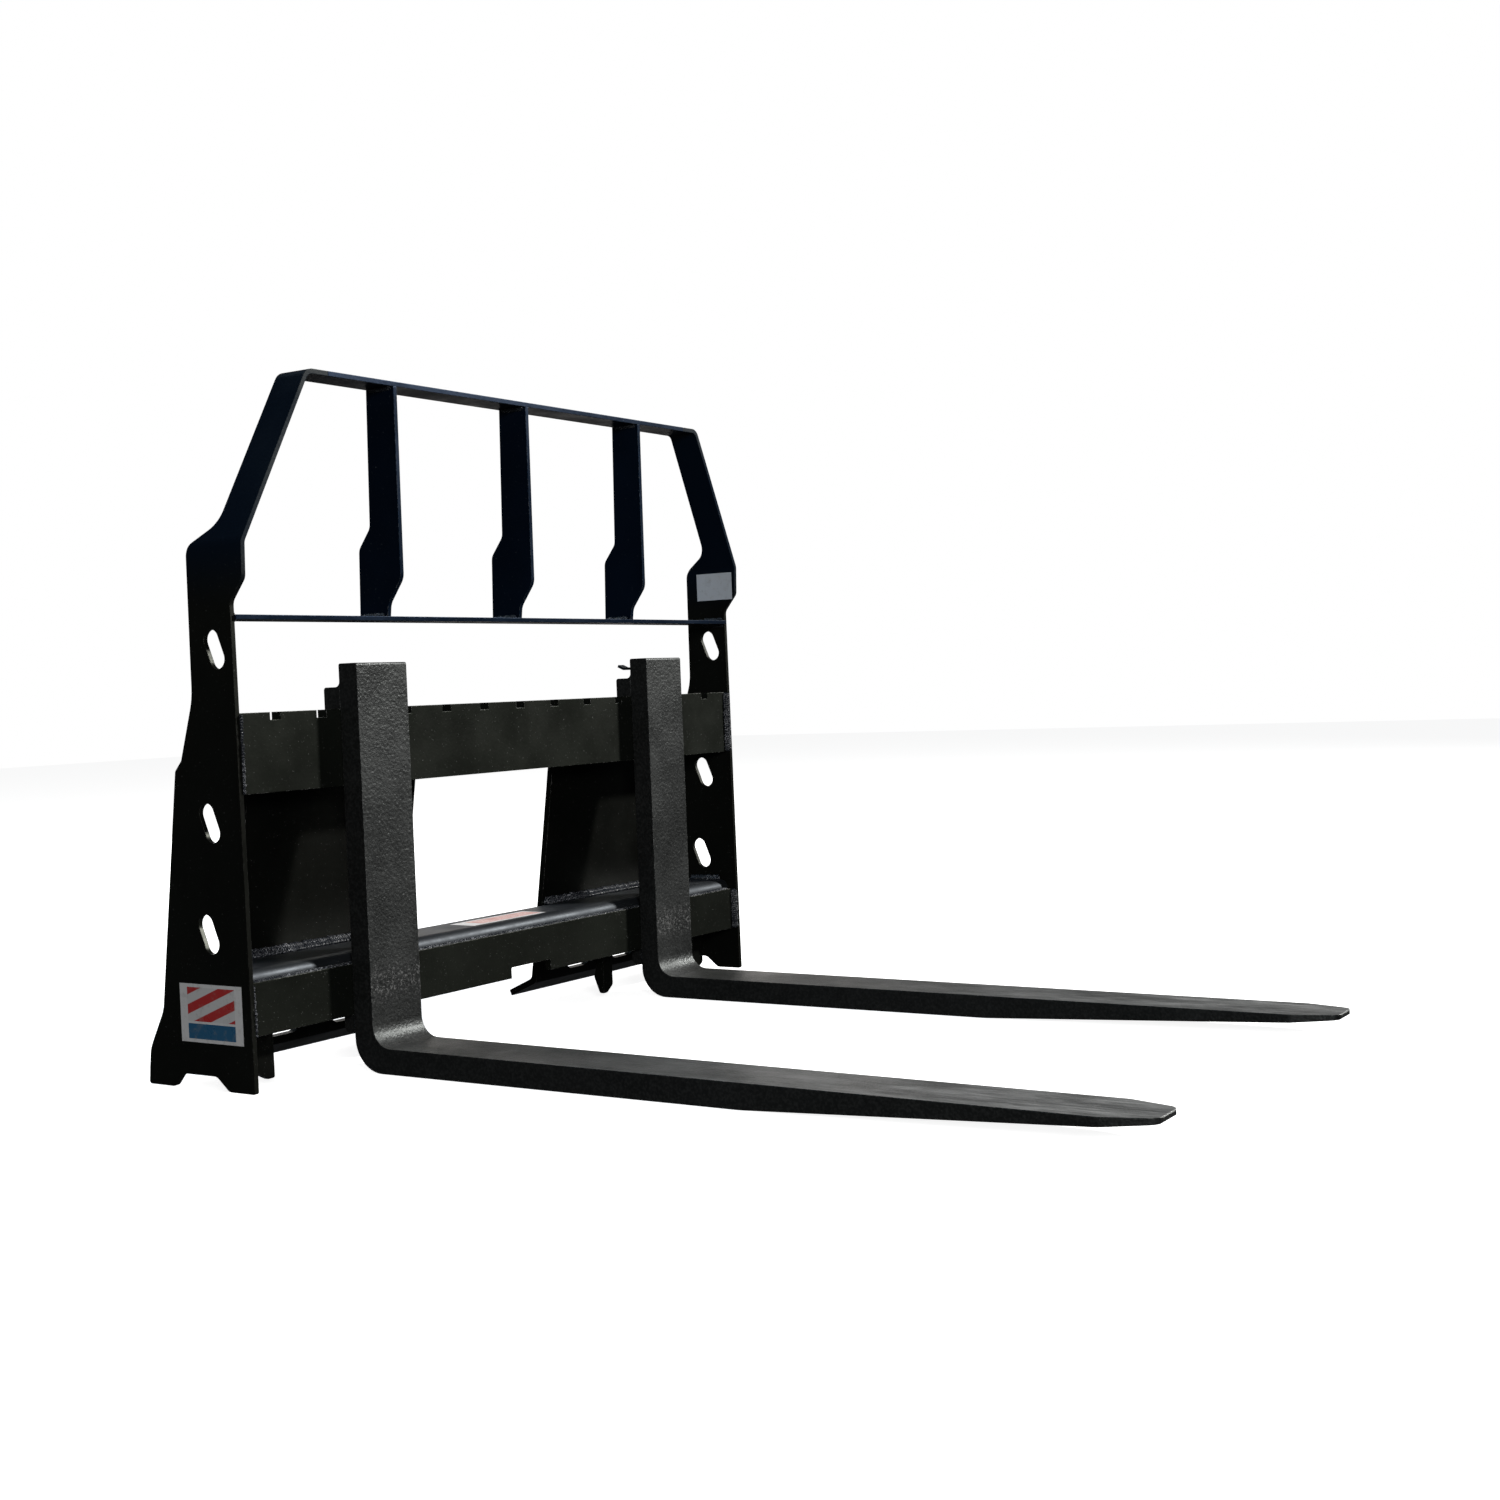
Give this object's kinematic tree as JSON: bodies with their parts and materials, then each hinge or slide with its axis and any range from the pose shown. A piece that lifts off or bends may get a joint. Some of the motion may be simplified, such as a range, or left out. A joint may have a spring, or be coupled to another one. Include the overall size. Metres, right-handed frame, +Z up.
{
  "type": "pallet fork attachment",
  "caption": "Pallet fork attachment with a welded carriage, load guard, quick hitch plates and hook-on forks that slide along a notched rail.",
  "frame": {"origin": "bottom centre of the whole attachment, on the floor under the forks", "axes": "+Z up, forks reach towards -Y, +X to the right when seen from the fork tips"},
  "size_m": [1.1202, 1.2995, 0.92],
  "materials": {
    "frame_paint": "semi-gloss black paint",
    "fork_paint": "satin black paint with a fine orange-peel texture, scuffed on the blades",
    "latch_steel": "zinc plated",
    "spring_steel": "oiled spring steel",
    "handle_paint": "black paint, worn at the edges",
    "label_vinyl": "gloss vinyl label, blank"
  },
  "bodies": {
    "frame": {"side_plate_left": "frame_paint", "side_plate_right": "frame_paint", "guard_top_bar": "frame_paint", "guard_lower_bar": "frame_paint", "guard_upright_left": "frame_paint", "guard_upright_centre": "frame_paint", "guard_upright_right": "frame_paint", "fork_rail": "frame_paint", "lower_front_bar": "frame_paint", "lower_tube": "frame_paint", "hitch_plate_left": "frame_paint", "hitch_plate_right": "frame_paint", "rail_spacers_left": "frame_paint", "rail_spacers_right": "frame_paint", "hitch_bracket_inner_left": "frame_paint", "hitch_bracket_inner_right": "frame_paint", "hitch_bracket_outer_left": "frame_paint", "hitch_bracket_outer_right": "frame_paint", "label_side": "label_vinyl", "label_rating": "label_vinyl", "label_tube": "label_vinyl"},
    "fork_left": {"fork_left": "fork_paint", "upper_hook_left": "fork_paint", "lower_hook_left": "fork_paint", "latch_bush_left": "latch_steel", "latch_spring_left": "spring_steel"},
    "latch_left": {"latch_pin_left": "latch_steel"},
    "handle_left": {"latch_handle_left": "handle_paint"},
    "fork_right": {"fork_right": "fork_paint", "upper_hook_right": "fork_paint", "lower_hook_right": "fork_paint", "latch_bush_right": "latch_steel", "latch_spring_right": "spring_steel"},
    "latch_right": {"latch_pin_right": "latch_steel"},
    "handle_right": {"latch_handle_right": "handle_paint"}
  },
  "joints": [
    {"name": "fork_left_slide", "type": "slide", "parent": "frame", "child": "fork_left", "axis": [1, 0, 0], "range_m": [-0.163, 0.2445]},
    {"name": "latch_left_lift", "type": "slide", "parent": "fork_left", "child": "latch_left", "axis": [0, 0, 1], "range_m": [-0.01, 0], "deforming": ["latch_spring_left"]},
    {"name": "latch_left_turn", "type": "hinge", "parent": "latch_left", "child": "handle_left", "pos_m": [-0.326, 0.472, 0.528], "axis": [0, 0, 1], "range_deg": [0, 90]},
    {"name": "fork_right_slide", "type": "slide", "parent": "frame", "child": "fork_right", "axis": [1, 0, 0], "range_m": [-0.2445, 0.163]},
    {"name": "latch_right_lift", "type": "slide", "parent": "fork_right", "child": "latch_right", "axis": [0, 0, 1], "range_m": [-0.01, 0], "deforming": ["latch_spring_right"]},
    {"name": "latch_right_turn", "type": "hinge", "parent": "latch_right", "child": "handle_right", "pos_m": [0.326, 0.472, 0.528], "axis": [0, 0, 1], "range_deg": [-90, 0]}
  ]
}
